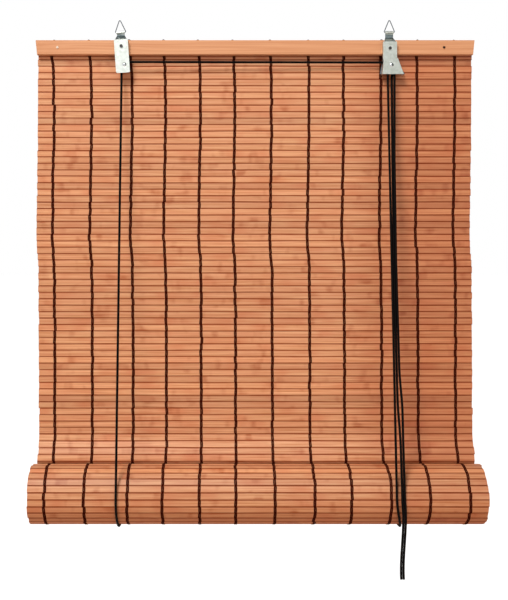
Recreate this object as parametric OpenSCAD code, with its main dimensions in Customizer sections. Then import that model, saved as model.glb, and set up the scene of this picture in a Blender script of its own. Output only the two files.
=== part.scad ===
// Bamboo roll-up blind: a slat mat hung from a batten head rail, wound on itself at the
// bottom and carried by two lift cords that sling under the roll.
// Origin: centre of the head rail's back face. +Y points to the wall, +Z up, the front faces -Y.

/* [Mat] */
// Width of the bamboo mat
blind_w = 600; // [460:10:1200]
// Distance from one slat to the next
slat_pitch = 8.9; // [7:0.01:11]
// Thickness of a slat
slat_t = 2; // [1.4:0.1:2.4]
// Width of the notch between two slats, at their faces
slat_gap = 0.7; // [0.5:0.1:1.2]
// Thickness of the stitched web at the bottom of a notch
web_t = 0.8; // [0.4:0.1:1]
// Slats from the mat's top edge down to the roll's axis
hanging_slats = 69; // [50:1:120]
// Distance from the rail's top down to the mat's top edge
mat_inset = 0.5; // [0:0.1:2]

/* [Stitching] */
// Number of stitched columns across the mat
stitch_columns = 12; // [4:1:12]
// Distance from the mat's edge to the first column
stitch_edge = 22; // [12:1:60]
// Width of a column's thread pair
thread_w = 4; // [1.6:0.2:5]
// Thickness of the thread on the slats
thread_t = 0.6; // [0.3:0.1:0.8]

/* [Roll] */
// Outer radius of the roll where the hanging mat runs on to it
roll_r = 41; // [37:1:60]
// Distance from one turn of the roll to the next
layer_pitch = 3.4; // [3.2:0.1:3.6]
// Radius of the hollow at the roll's core
roll_core_r = 22.7; // [14:0.1:26]
// Depth of the bottom batten inside the roll
bottom_batten_d = 9; // [5:1:11]

/* [Head rail] */
// Height of the two battens
rail_h = 20; // [18:1:30]
// Thickness of one batten
batten_t = 8; // [7:0.5:14]
// Length of the rail past each side of the mat, at its top
rail_overhang = 2; // [1:0.5:12]
// How far each end of the rail slants in at its bottom
rail_end_slant = 2; // [0:0.5:4]
// Chamfer along the front edges of the rail
rail_chamfer = 0.8; // [0.2:0.1:2]
// Distance from the rail's left end to its nail
nail_from_left = 30; // [12:1:80]
// Distance from the rail's right end to its nail
nail_from_right = 42; // [12:1:80]
// Diameter of a nail's shank
nail_d = 1.6; // [1.2:0.1:2.4]
// Diameter of a nail's head
nail_head_d = 3.4; // [2.4:0.1:5]

/* [Brackets] */
// Distance between the two hanger brackets
bracket_span = 369; // [250:1:420]
// Thickness of the bracket sheet
sheet_t = 0.9; // [0.7:0.1:1.2]
// Distance from the rail's front to the bracket's front
bracket_d = 6.5; // [6:0.1:9]
// Width of a bracket's front plate
plate_w = 19; // [17:0.5:24]
// Width of the neck that carries the hanger eye
neck_w = 10.8; // [8:0.1:13]
// Height of the hanger eye above the rail's middle
eye_z = 20.2; // [19:0.1:26]
// Length of the rolled hanger eye
eye_w = 11.4; // [9:0.1:12]
// Diameter of the hanger ring's wire
wire_d = 1.3; // [1:0.1:1.6]
// Width of the hanger ring at its base
ring_w = 15; // [14.8:0.1:20]
// Height of the hanger ring above the eye
ring_h = 18.2; // [14:0.1:24]
// Lean of the left bracket, which hangs out of plumb
left_lean = 4; // [0:0.5:6]
// Diameter of a bracket screw's shank
screw_d = 3; // [2.5:0.1:3.5]
// Diameter of a bracket screw's head
screw_head_d = 4.2; // [4:0.1:7]
// Diameter of a rivet's shank
rivet_d = 2.6; // [2.2:0.1:3]
// Diameter of a rivet's domed head
rivet_head_d = 5.6; // [4.4:0.1:7]
// Running clearance between a rivet and what turns on it
rivet_clear = 0.05; // [0.03:0.01:0.1]

/* [Cord gear] */
// Diameter of the cords
cord_d = 3.2; // [1.6:0.1:3.2]
// Radius of the cord's middle on the left pulley
pulley_cord_r = 4.2; // [3.6:0.1:4.4]
// Radius of the cord's middle on the lock's guide roller
guide_cord_r = 4.6; // [4.4:0.1:4.9]
// Height of the lock housing
lock_h = 22; // [20:0.5:24]
// How far the lock's right side slants out at its bottom
lock_flare = 8.2; // [7.6:0.1:10]
// Radius of the wedge roller in the lock
wedge_r = 2.5; // [2.2:0.1:2.6]
// Travel of the wedge roller along the slanted side
wedge_travel = 4; // [2:0.5:4.5]
// Length of the pull cords' ends below the roll's axis
pull_tail = 100; // [60:5:400]

/* [Hidden] */
$fn = 48;
// Clearances: seat of a fixed pin, moving piece to its neighbour, cord to what it lies on
seat_clear = 0.05;
run_clear = 0.3;
cord_clear = 0.3;

bamboo = "#DE9B6E";
pine = "#E0A070";
thread_brown = "#3A1710";
zinc = "#C9CDC8";
cord_black = "#16130F";

// Planes from the wall to the front
mat_y = -(batten_t + slat_t / 2);
rail_front_y = -(2 * batten_t + slat_t);
plate_front_y = rail_front_y - bracket_d;
plate_back_y = plate_front_y + sheet_t;

// Hanging mat and roll
mat_top_z = rail_h / 2 - mat_inset;
mid_r = roll_r - slat_t / 2;
roll_y = mat_y - mid_r;
roll_z = mat_top_z - hanging_slats * slat_pitch;
rolled_slats = floor(PI * (mid_r * mid_r - roll_core_r * roll_core_r) / (layer_pitch * slat_pitch));
rail_half_w = blind_w / 2 + rail_overhang;
nail_x = [nail_from_left - rail_half_w, rail_half_w - nail_from_right];

// Columns stand evenly, then each is off by the weaver's own wander
stitch_wander = [0, 1.5, 7.5, 3, 1, -2, -1.5, 0, -2.5, -1.5, -1.5, 0];
stitch_step = (blind_w - 2 * stitch_edge) / (stitch_columns - 1);
stitch_x = [for (i = [0:stitch_columns - 1]) stitch_edge - blind_w / 2 + i * stitch_step + stitch_wander[i]];
thread_turns = 0.92;
thread_slats = floor(thread_turns * 2 * PI * (mid_r - layer_pitch / 2) / slat_pitch);

// Brackets: both lie on the screw's own axis; the left one leans about it
left_screw = [-bracket_span / 2 + 1, 0.4];
right_screw = [bracket_span / 2, -2.6];
left_bend_z = 9.5;
right_bend_z = 6.5;
left_plate_bottom = -36.2;
flange_bottom = -15.5;
shoulder_step = 1.4;
plate_corner_r = 2;
screw_hole_clear = 0.2;
screw_head_h = 1.6;
screw_depth = batten_t - 1;
rivet_head_h = 1.1;
rivet_tail_d = 4.8;
rivet_tail_h = 0.8;
ring_bend_r = 1.2;
eye_in_r = wire_d / 2 + run_clear;
eye_out_r = eye_in_r + sheet_t;
eye_y = rail_front_y + sheet_t - eye_out_r;

// Left pulley on the rivet at the foot of the leaning plate
left_rivet_drop = 25.6;
left_rivet_side = 2.5;
groove_r = cord_d / 2 + cord_clear;
pulley_rim = 1.2;
pulley_w = 2 * groove_r + 1.6;
pulley_y = plate_back_y + run_clear + pulley_w / 2;
left_rivet = lean([left_rivet_side, -left_rivet_drop]);

// Lock housing below the right bracket, with its guide roller and wedge roller
lock_top_z = -16;
lock_bottom_z = lock_top_z - lock_h;
lock_left = [-8.4, -10.5];
lock_right_top = 10.6;
guide_drop = 9.2;
guide_at = [right_screw[0] + 2, lock_top_z - guide_drop];
guide_pitch = 2 * groove_r + 0.6;
guide_w = 2 * guide_pitch;
guide_rim = 1.3;
guide_y = plate_back_y + run_clear + guide_w / 2;
lock_back_y = plate_back_y + guide_w + 2 * run_clear;
lock_slope = atan(lock_flare / lock_h);
wedge_drop = 3;
wedge_z = guide_at[1] - wedge_drop;
wedge_x = lock_face_x(wedge_z) - (wedge_r + run_clear) / cos(lock_slope);
wedge_flutes = 12;
flute_r = 0.35;
wedge_end_z = wedge_z - wedge_travel * cos(lock_slope) - wedge_r;
stop_t = sheet_t;
stop_w = 6;
back_wing = [1.5, 3.5];
back_rise = 2;

// Cords: where they come down from the gear and where they meet the roll
cord_x_left = left_rivet[0] - pulley_cord_r;
cord_x_right = guide_at[0] - guide_cord_r;
pull_x = guide_at[0] + guide_cord_r;
front_groove_y = guide_y - guide_pitch / 2;
back_groove_y = guide_y + guide_pitch / 2;
cord_exit_z = -42;
sling_steps = 24;
sling_end_a = cord_clear / mid_r * 180 / PI;
left_back_x = cord_x_left + 1;
right_touch_x = cord_x_right - 1.6;
right_back_x = cord_x_right + 8.5;
knot_y = -batten_t / 2;
knot_r = 2.3;
knot_cut = 1.1;
knot_seat_d = 5.4;
knot_seat_h = 2.6;
knot_hole_d = cord_d + 0.4;
knot_z = rail_h / 2 - knot_seat_h;

// The left pull cord leaves the lock a little to the left of the right one
pull_part = -2.9;
// Hang of the two pull cords: share of the way to the roll, then the left and the right cord's shift
pull_hang = [
  [0.2, -5, -2.8],
  [0.45, -6.6, -4.2],
  [0.72, -6.7, -3.5],
  [0.79, -6.6, -0.7],
  [0.87, -4.2, -0.8],
  [1, -3.9, -0.3]
];
tail_sway = [0, 0.9, -1.1, -1.5];

function unit(v) = v / norm(v);

// A place on the left bracket, given from its screw, after the bracket has leaned
function lean(p) = [
  left_screw[0] + p[0] * cos(left_lean) - p[1] * sin(left_lean),
  left_screw[1] + p[0] * sin(left_lean) + p[1] * cos(left_lean)
];

// X of the inner face of the lock's slanted side at height z
function lock_face_x(z) =
  right_screw[0] + lock_right_top + (lock_top_z - z) * tan(lock_slope) - sheet_t / cos(lock_slope);

// Spiral of the roll: angle from the back, turning down and to the front, after a length of mat
function wound_angle(s) = 360 / layer_pitch * (mid_r - sqrt(mid_r * mid_r - layer_pitch * s / PI));
function wound_r(a) = mid_r - layer_pitch * a / 360;
function outward(a) = [cos(a), -sin(a)];
function roll_point(a, r) = [roll_y, roll_z] + r * outward(a);
function slat_angle(k) = wound_angle(k * slat_pitch);
function slat_edge(k) = roll_point(slat_angle(k), wound_r(slat_angle(k)));
function slat_dir(k) = unit(slat_edge(k + 1) - slat_edge(k));
function slat_out(k) = [-slat_dir(k)[1], slat_dir(k)[0]];

// Two corners of one wound slat, on its outer side (1) or its inner side (-1)
function slat_side(k, side) = [
  slat_edge(k) + slat_dir(k) * slat_gap / 2 + side * slat_out(k) * slat_t / 2,
  slat_edge(k + 1) - slat_dir(k) * slat_gap / 2 + side * slat_out(k) * slat_t / 2
];
function slat_notch(k, side) = slat_edge(k) + side * outward(slat_angle(k)) * web_t / 2;

// Where the outer faces of two neighbouring wound slats meet, lifted off them by h
function slat_mitre(k, h) = let (
  before = slat_out(max(k - 1, 0)),
  after = slat_out(k),
  half = unit(before + after)
) slat_edge(k) + half * (slat_t / 2 + h) / (half * after);

// Height of the notch above hanging slat k, and the points of that slat on one side
function hang_z(k) = mat_top_z - k * slat_pitch;
function hang_side(k, side) = [
  [mat_y + side * web_t / 2, hang_z(k)],
  [mat_y + side * slat_t / 2, hang_z(k) - slat_gap / 2],
  [mat_y + side * slat_t / 2, hang_z(k + 1) + slat_gap / 2]
];
function turned(list) = [for (i = [len(list) - 1:-1:0]) list[i]];

// A cord's route: arc in the plane of X and Z, and arc round the roll
function wrap_points(c, y, r, a0, a1, steps) =
  [for (i = [0:steps]) let (a = a0 + (a1 - a0) * i / steps) [c[0] + r * cos(a), y, c[1] + r * sin(a)]];
function sling_r(a) = wound_r(a) + slat_t / 2 + thread_t + cord_clear / 2 + cord_d / 2;
function sling_point(x, a) = let (p = roll_point(a, sling_r(a))) [x, p[0], p[1]];

// Angle at which a cord that hangs from depth y meets the front of the roll
function touch_a(y) = let (
  up = [y - roll_y, cord_exit_z - roll_z]
) 360 - atan2(up[1], up[0]) - acos(sling_r(180) / norm(up));

// Part of a sling's way over to its back run, over the first quarter turn under the roll
function sling_ease(t) = let (u = min(max(t, 0), 1)) u * u * (3 - 2 * u);

// Bend of the hanger ring's wire at corner b, on the way from a to c
function ring_bend(a, b, c) = let (
  mid = unit(unit(a - b) + unit(c - b)),
  half = acos(unit(a - b) * mid),
  centre = b + mid * ring_bend_r / sin(half),
  outer = atan2(-mid[1], -mid[0])
) [for (i = [-3:3]) let (t = outer + (90 - half) * i / 3) centre + ring_bend_r * [cos(t), sin(t)]];

// Profiles drawn in Y and Z, carried along X from the middle
module along_x(w) {
  translate([-w / 2, 0, 0]) rotate([90, 0, 90]) linear_extrude(w) children();
}

// Outlines drawn in X and Z, from the plane front_y back by t
module along_y(front_y, t) {
  translate([0, front_y + t, 0]) rotate([90, 0, 0]) linear_extrude(t) children();
}

// A pin along Y from front_y to back_y
module pin_y(at, d, front_y, back_y) {
  translate([at[0], back_y, at[1]]) rotate([90, 0, 0]) cylinder(d = d, h = back_y - front_y);
}

// A wire of 8 sides swept along its route; ref is a direction that the route never takes
module sweep(route, ref, d, closed = false) {
  n = 8;
  count = len(route);
  last = count - 1;
  points = [for (i = [0:last]) let (
    before = closed ? route[(i + last) % count] : route[max(i - 1, 0)],
    after = closed ? route[(i + 1) % count] : route[min(i + 1, last)],
    t = unit(after - before),
    s = unit(cross(ref, t)),
    u = cross(t, s)
  ) for (j = [0:n - 1]) route[i] + d / 2 * (cos(360 * j / n) * s + sin(360 * j / n) * u)];
  sides = [for (i = [0:closed ? last : last - 1]) for (j = [0:n - 1]) let (
    k = (j + 1) % n,
    m = (i + 1) % count * n
  ) each [[i * n + j, m + j, m + k], [i * n + j, m + k, i * n + k]]];
  ends = closed ? [] : [[for (j = [0:n - 1]) j], [for (j = [n - 1:-1:0]) last * n + j]];
  polyhedron(points, concat(sides, ends));
}

module cord(route, ref) {
  color(cord_black) sweep(route, ref, cord_d);
}

// Head rail
module rail_ends() {
  along_y(rail_front_y, -rail_front_y)
    polygon([
      [-rail_half_w, rail_h / 2],
      [rail_half_w, rail_h / 2],
      [rail_half_w - rail_end_slant, -rail_h / 2],
      [rail_end_slant - rail_half_w, -rail_h / 2]
    ]);
}

module nail_holes() {
  for (x = nail_x)
    pin_y([x, 0], nail_d + 2 * seat_clear, rail_front_y, -batten_t / 2);
}

module front_batten() {
  c = rail_chamfer;
  f = rail_front_y;
  b = f + batten_t;
  h = rail_h / 2;
  color(pine) difference() {
    intersection() {
      along_x(2 * rail_half_w) polygon([[b, h], [f + c, h], [f, h - c], [f, c - h], [f + c, -h], [b, -h]]);
      rail_ends();
    }
    nail_holes();
    for (at = [left_screw, right_screw])
      pin_y(at, screw_d + 2 * seat_clear, f, f + screw_depth + run_clear);
  }
}

module back_batten() {
  color(pine) difference() {
    intersection() {
      along_x(2 * rail_half_w) translate([-batten_t, -rail_h / 2]) square([batten_t, rail_h]);
      rail_ends();
    }
    nail_holes();
    for (x = [left_back_x, right_back_x]) translate([x, knot_y, 0]) {
      cylinder(d = knot_hole_d, h = 2 * rail_h, center = true);
      translate([0, 0, knot_z]) cylinder(d = knot_seat_d, h = rail_h);
    }
  }
}

module rail_nails() {
  head_h = 0.6;
  color(zinc) for (x = nail_x) {
    pin_y([x, 0], nail_d, rail_front_y, -batten_t / 2);
    pin_y([x, 0], nail_head_d, rail_front_y - head_h, rail_front_y);
  }
}

// Slat mat: one sheet whose ridges are the slats and whose notches are the stitched joints
module hanging_mat() {
  last = hanging_slats - 1;
  front = [for (k = [0:last]) each hang_side(k, -1)];
  back = [for (k = [0:last]) each hang_side(k, 1)];
  foot = [[mat_y - web_t / 2, roll_z], [mat_y + web_t / 2, roll_z]];
  color(bamboo) difference() {
    along_x(blind_w) polygon(concat(front, foot, turned(back)));
    nail_holes();
  }
}

module rolled_mat() {
  last = rolled_slats - 1;
  outer = [for (k = [0:last]) each concat([slat_notch(k, 1)], slat_side(k, 1))];
  inner = [for (k = [0:last]) each concat([slat_notch(k, -1)], slat_side(k, -1))];
  color(bamboo) along_x(blind_w) polygon(concat(outer, turned(inner)));
}

// Wooden batten on the mat's last slat, at the core of the roll
module bottom_batten() {
  k = rolled_slats - 1;
  corner = 1.2;
  seat = slat_side(k, -1);
  in = -slat_out(k);
  d = bottom_batten_d;
  along = slat_dir(k) * corner;
  color(pine) along_x(blind_w) polygon([
    seat[0],
    seat[0] + in * (d - corner),
    seat[0] + in * d + along,
    seat[1] + in * d - along,
    seat[1] + in * (d - corner),
    seat[1]
  ]);
}

// Thread pairs: on both faces of the hanging mat, and round the outside of the roll
module hanging_thread(x) {
  foot = roll_z + slat_gap / 2;
  color(thread_brown)
    for (y = [mat_y - slat_t / 2 - thread_t, mat_y + slat_t / 2])
      translate([x - thread_w / 2, y, foot]) cube([thread_w, thread_t, -rail_h / 2 - foot]);
}

module rolled_thread(x) {
  under = [for (k = [1:thread_slats]) slat_mitre(k, 0)];
  over = [for (k = [1:thread_slats]) slat_mitre(k, thread_t)];
  color(thread_brown) translate([x, 0, 0]) along_x(thread_w) polygon(concat(under, turned(over)));
}

// Bracket sheet: front plate, shoulder bent back over the rail, neck and rolled eye
module bracket_strip(bend_z, bottom_z) {
  t = sheet_t;
  fold = t * tan(22.5);
  top_z = bend_z + bracket_d;
  back_y = rail_front_y + t;
  difference() {
    intersection() {
      along_x(2 * plate_w) polygon([
        [plate_front_y, bottom_z],
        [plate_front_y, bend_z],
        [rail_front_y, top_z],
        [rail_front_y, eye_z],
        [back_y, eye_z],
        [back_y, top_z - fold],
        [plate_back_y, bend_z - fold],
        [plate_back_y, bottom_z]
      ]);
      along_y(plate_front_y, bracket_d + 2 * t) strip_outline(bend_z, top_z, bottom_z);
    }
    eye_bar(eye_in_r, 2 * eye_w);
  }
  difference() {
    eye_bar(eye_out_r, eye_w);
    eye_bar(eye_in_r, 2 * eye_w);
  }
}

module eye_bar(r, w) {
  translate([0, eye_y, eye_z]) rotate([0, 90, 0]) cylinder(r = r, h = w, center = true);
}

module strip_outline(bend_z, top_z, bottom_z) {
  s = plate_w / 2 - shoulder_step;
  n = neck_w / 2;
  r = plate_corner_r;
  polygon([[-s, bend_z], [s, bend_z], [n, top_z], [n, eye_z], [-n, eye_z], [-n, top_z]]);
  translate([-plate_w / 2, bottom_z + r]) square([plate_w, bend_z - bottom_z - r]);
  translate([r - plate_w / 2, bottom_z]) square([plate_w - 2 * r, 2 * r]);
  for (side = [-1, 1]) translate([side * (plate_w / 2 - r), bottom_z + r]) circle(r);
}

// Side flanges that stand the plate off the rail
module bracket_flanges(bend_z) {
  for (x = [-plate_w / 2, plate_w / 2 - sheet_t])
    translate([x, plate_front_y, flange_bottom]) cube([sheet_t, bracket_d, bend_z - sheet_t - flange_bottom]);
}

module at_left_bracket() {
  translate([left_screw[0], 0, left_screw[1]]) rotate([0, -left_lean, 0])
    translate([0, 0, -left_screw[1]]) children();
}

module left_bracket() {
  color(zinc) difference() {
    at_left_bracket() {
      bracket_strip(left_bend_z, left_plate_bottom);
      bracket_flanges(left_bend_z);
    }
    pin_y(left_screw, screw_d + 2 * screw_hole_clear, plate_front_y - sheet_t, plate_back_y + sheet_t);
    pin_y(left_rivet, rivet_d + 2 * seat_clear, plate_front_y - sheet_t, plate_back_y + sheet_t);
  }
}

module right_bracket() {
  x = right_screw[0];
  color(zinc) difference() {
    translate([x, 0, 0]) {
      bracket_strip(right_bend_z, lock_top_z - 2 * plate_corner_r);
      bracket_flanges(right_bend_z);
      lock_shell();
    }
    pin_y(right_screw, screw_d + 2 * screw_hole_clear, plate_front_y - sheet_t, plate_back_y + sheet_t);
    pin_y(guide_at, rivet_d + 2 * seat_clear, plate_front_y - sheet_t, plate_back_y + sheet_t);
    cord_mouth();
  }
}

// Where the cross cord comes in through the lock's left side
module cord_mouth() {
  w = cord_d + 2 * run_clear + 1;
  z = guide_at[1] + guide_cord_r - w / 2;
  wall_x = right_screw[0] + lock_left[0] + 2 * sheet_t;
  translate([wall_x - plate_w, back_groove_y - w / 2, z]) cube([plate_w, plate_w, w]);
}

module lock_outline() {
  polygon([
    [lock_left[0], lock_top_z],
    [lock_right_top, lock_top_z],
    [lock_right_top + lock_flare, lock_bottom_z],
    [lock_left[1], lock_bottom_z]
  ]);
}

// Lock housing: front plate, two folded sides, and a tab under the wedge roller
module lock_shell() {
  wall = sheet_t / cos(lock_slope);
  depth = lock_back_y - plate_front_y;
  stop_z = wedge_end_z - run_clear - stop_t;
  stop_x = lock_face_x(stop_z) - right_screw[0];
  along_y(plate_front_y, sheet_t) lock_outline();
  along_y(plate_front_y, depth) {
    polygon([
      [lock_left[0], lock_top_z],
      [lock_left[0] + sheet_t, lock_top_z],
      [lock_left[1] + sheet_t, lock_bottom_z],
      [lock_left[1], lock_bottom_z]
    ]);
    polygon([
      [lock_right_top - wall, lock_top_z],
      [lock_right_top, lock_top_z],
      [lock_right_top + lock_flare, lock_bottom_z],
      [lock_right_top + lock_flare - wall, lock_bottom_z]
    ]);
    translate([stop_x - stop_w, stop_z]) square([stop_w + wall / 2, stop_t]);
  }
}

// Back plate of the lock, a little wider than the housing at its foot
module lock_back_plate() {
  foot_z = lock_bottom_z + back_rise;
  color(zinc) difference() {
    translate([right_screw[0], 0, 0]) along_y(lock_back_y, sheet_t) polygon([
      [lock_left[0], lock_top_z],
      [lock_right_top, lock_top_z],
      [lock_right_top + lock_flare + back_wing[1], foot_z],
      [lock_left[1] - back_wing[0], foot_z]
    ]);
    pin_y(guide_at, rivet_d + 2 * seat_clear, lock_back_y - sheet_t, lock_back_y + 2 * sheet_t);
  }
}

// Hanger ring: one wire bent to a triangle with round corners, its base in the rolled eye
module hanger_ring() {
  left = [-ring_w / 2, 0];
  right = [ring_w / 2, 0];
  top = [0, ring_h];
  bends = concat(ring_bend(left, right, top), ring_bend(right, top, left), ring_bend(top, left, right));
  route = [for (p = bends) [p[0], eye_y, eye_z + p[1]]];
  color(zinc) sweep(route, [0, 1, 0], wire_d, closed = true);
}

module left_ring() {
  at_left_bracket() hanger_ring();
}

module right_ring() {
  translate([right_screw[0], 0, 0]) hanger_ring();
}

// Pan-head screw with a cross recess, through the plate into the front batten
module bracket_screw(at) {
  slot_w = 0.7;
  color(zinc) {
    difference() {
      pin_y(at, screw_head_d, plate_front_y - screw_head_h, plate_front_y);
      for (size = [[slot_w, screw_head_d * 0.6], [screw_head_d * 0.6, slot_w]])
        translate([at[0], plate_front_y - screw_head_h, at[1]])
          cube([size[0], screw_head_h, size[1]], center = true);
    }
    pin_y(at, screw_d, plate_front_y, rail_front_y + screw_depth);
  }
}

module left_screw() {
  bracket_screw(left_screw);
}

module right_screw() {
  bracket_screw(right_screw);
}

// Rivet with a domed head in front and a spread tail at tail_y
module gear_rivet(at, tail_y) {
  dome_r = (rivet_head_h * rivet_head_h + rivet_head_d * rivet_head_d / 4) / (2 * rivet_head_h);
  color(zinc) {
    intersection() {
      translate([at[0], plate_front_y - rivet_head_h + dome_r, at[1]]) sphere(dome_r);
      pin_y(at, rivet_head_d, plate_front_y - 2 * rivet_head_h, plate_front_y);
    }
    pin_y(at, rivet_d, plate_front_y, tail_y);
    pin_y(at, rivet_tail_d, tail_y, tail_y + rivet_tail_h);
  }
}

module left_rivet() {
  gear_rivet(left_rivet, pulley_y + pulley_w / 2 + run_clear);
}

module right_rivet() {
  gear_rivet(guide_at, lock_back_y + sheet_t);
}

// Grooved wheel about Y: grooves is the list of their places along its width
module grooved_wheel(at, y, w, rim_r, cord_r, grooves) {
  bore_r = rivet_d / 2 + rivet_clear;
  color(zinc) translate([at[0], y, at[1]]) rotate([90, 0, 0]) rotate_extrude() difference() {
    translate([bore_r, -w / 2]) square([rim_r - bore_r, w]);
    for (g = grooves) translate([cord_r, g]) {
      circle(groove_r);
      translate([0, -groove_r]) square([rim_r, 2 * groove_r]);
    }
  }
}

module left_pulley() {
  grooved_wheel(left_rivet, pulley_y, pulley_w, pulley_cord_r + pulley_rim, pulley_cord_r, [0]);
}

module guide_roller() {
  half = guide_pitch / 2;
  grooved_wheel(guide_at, guide_y, guide_w, guide_cord_r + guide_rim, guide_cord_r, [-half, half]);
}

// Wedge roller, fluted to grip: it lies loose between the lock's plates, against its slanted side
module wedge_roller() {
  w = lock_back_y - plate_back_y - 2 * run_clear;
  color(zinc) translate([wedge_x, plate_back_y + run_clear + w, wedge_z]) rotate([90, 0, 0])
    linear_extrude(w) difference() {
      circle(wedge_r);
      for (i = [0:wedge_flutes - 1]) rotate(360 * i / wedge_flutes) translate([wedge_r, 0]) circle(flute_r);
    }
}

// Cords
module cord_knots() {
  color(cord_black) for (x = [left_back_x, right_back_x]) translate([x, knot_y, knot_z]) {
    intersection() {
      translate([0, 0, knot_cut]) sphere(knot_r);
      cylinder(r = 2 * knot_r, h = 2 * knot_r);
    }
  }
}

// Left cord: up over the pulley, across under the rail, over the guide roller and down
module cross_cord() {
  cord(concat(
    [[cord_x_left, pulley_y, cord_exit_z]],
    wrap_points(left_rivet, pulley_y, pulley_cord_r, 180, 90, 6),
    wrap_points(guide_at, back_groove_y, guide_cord_r, 90, 0, 6),
    [[pull_x + pull_part, back_groove_y, cord_exit_z]]
  ), [0, 1, 0]);
}

// Right cord: up into the lock, over the guide roller and down
module lock_cord() {
  cord(concat(
    [[cord_x_right, front_groove_y, cord_exit_z]],
    wrap_points(guide_at, front_groove_y, guide_cord_r, 180, 0, 12),
    [[pull_x, front_groove_y, cord_exit_z]]
  ), [0, 1, 0]);
}

module front_cord(x, touch_x, y) {
  cord([[x, y, cord_exit_z], sling_point(touch_x, touch_a(y))], [1, 0, 0]);
}

// Sling: from the front run under the roll to the back run, a little short of both
module sling_cord(x, back_x, y) {
  start = touch_a(y) - sling_end_a;
  cord([for (i = [0:sling_steps]) let (
    a = start + (sling_end_a - start) * i / sling_steps
  ) sling_point(x + (back_x - x) * sling_ease((start - a) / 90), a)], [1, 0, 0]);
}

module back_cord(x) {
  cord([sling_point(x, 0), [x, knot_y, -rail_h / 2], [x, knot_y, knot_z]], [1, 0, 0]);
}

module left_front_cord() {
  front_cord(cord_x_left, cord_x_left, pulley_y);
}

module left_sling_cord() {
  sling_cord(cord_x_left, left_back_x, pulley_y);
}

module left_back_cord() {
  back_cord(left_back_x);
}

module right_front_cord() {
  front_cord(cord_x_right, right_touch_x, front_groove_y);
}

module right_sling_cord() {
  sling_cord(right_touch_x, right_back_x, front_groove_y);
}

module right_back_cord() {
  back_cord(right_back_x);
}

// Pull cord: from the lock down to the roll's front, then free below it; side 1 is the left one, 2 the right
module pull_cord(side, top_y) {
  top = [pull_x, top_y, cord_exit_z];
  run = sling_point(pull_x, touch_a(top_y)) - top;
  front = sling_point(pull_x + pull_hang[len(pull_hang) - 1][side], 180);
  cord(concat(
    [top + [side == 1 ? pull_part : 0, 0, 0]],
    [for (h = pull_hang) top + run * h[0] + [h[side], 0, 0]],
    [for (i = [0:3]) front + [tail_sway[i], 0, -pull_tail * i / 3]]
  ), [1, 0, 0]);
}

module pull_cord_left() {
  pull_cord(1, back_groove_y);
}

module pull_cord_right() {
  pull_cord(2, front_groove_y);
}

front_batten();
back_batten();
rail_nails();
hanging_mat();
rolled_mat();
bottom_batten();
for (i = [1:stitch_columns])
  hanging_thread(stitch_x[i - 1]);
for (i = [1:stitch_columns])
  rolled_thread(stitch_x[i - 1]);
left_bracket();
left_ring();
left_screw();
left_rivet();
left_pulley();
right_bracket();
right_ring();
right_screw();
right_rivet();
guide_roller();
lock_back_plate();
wedge_roller();
cord_knots();
cross_cord();
lock_cord();
left_front_cord();
left_sling_cord();
left_back_cord();
right_front_cord();
right_sling_cord();
right_back_cord();
pull_cord_left();
pull_cord_right();
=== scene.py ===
# %% [markdown]
# # A bamboo roll-up blind
# The blind is a mat of flat bamboo slats, hung from a wooden head rail and wound on itself at its foot. Two cords
# sling under the roll; pulling them lifts it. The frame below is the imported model: its bodies and nodes are in
# metres, with the rail's back at the origin, +Z up and the front towards -Y. Every piece made here is laid over
# the solid that it stands for.

# %% Load the frame
import bpy
import numpy as np
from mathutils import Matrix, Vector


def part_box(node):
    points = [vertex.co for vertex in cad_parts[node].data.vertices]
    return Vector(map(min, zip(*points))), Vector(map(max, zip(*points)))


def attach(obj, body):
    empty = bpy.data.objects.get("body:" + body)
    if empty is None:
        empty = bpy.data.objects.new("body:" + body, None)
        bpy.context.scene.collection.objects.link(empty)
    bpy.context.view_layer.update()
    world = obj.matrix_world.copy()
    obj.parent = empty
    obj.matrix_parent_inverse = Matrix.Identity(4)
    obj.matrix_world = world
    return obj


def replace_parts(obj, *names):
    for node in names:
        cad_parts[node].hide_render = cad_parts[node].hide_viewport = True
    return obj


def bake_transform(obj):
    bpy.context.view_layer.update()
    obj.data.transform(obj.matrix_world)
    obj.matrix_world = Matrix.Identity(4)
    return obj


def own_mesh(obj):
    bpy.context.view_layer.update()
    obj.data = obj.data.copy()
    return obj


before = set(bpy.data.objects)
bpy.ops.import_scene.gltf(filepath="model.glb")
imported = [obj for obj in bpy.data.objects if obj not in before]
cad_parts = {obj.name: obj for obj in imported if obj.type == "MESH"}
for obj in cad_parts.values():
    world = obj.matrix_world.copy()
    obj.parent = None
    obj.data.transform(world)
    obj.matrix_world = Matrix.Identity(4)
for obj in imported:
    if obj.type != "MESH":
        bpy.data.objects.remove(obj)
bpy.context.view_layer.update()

MM = 0.001

# %% [markdown]
# The sizes that the pieces share are read from the solids where a box gives them. The mat's box gives its middle
# plane, top and foot, and the foot is also the height of the roll's axis. The roll is a spiral: it starts at the
# mat's plane with the radius of its outermost slats, and each turn lies one layer further in.

# %% Shared sizes
def middle(node):
    """Middle of a node's box."""
    low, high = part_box(node)
    return (np.array(low) + np.array(high)) / 2


MAT_Y = middle("hanging_mat")[1]
ROLL_Z, MAT_TOP = (corner[2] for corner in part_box("hanging_mat"))
RAIL_TOP, RAIL_FOOT = 10 * MM, -10 * MM
HALF_W = 0.3
HANGING, ROLLED = 69, 112
PITCH = (MAT_TOP - ROLL_Z) / HANGING
SLAT_T, LAYER, MID_R = 2 * MM, 3.4 * MM, 40 * MM
ROLL_Y = MAT_Y - MID_R
COLUMNS = np.array([middle(f"hanging_thread_{i}")[0] for i in range(1, 13)])
print("slat pitch", round(PITCH / MM, 2), "mm, roll axis at", np.round([ROLL_Y / MM, ROLL_Z / MM], 1))

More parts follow.
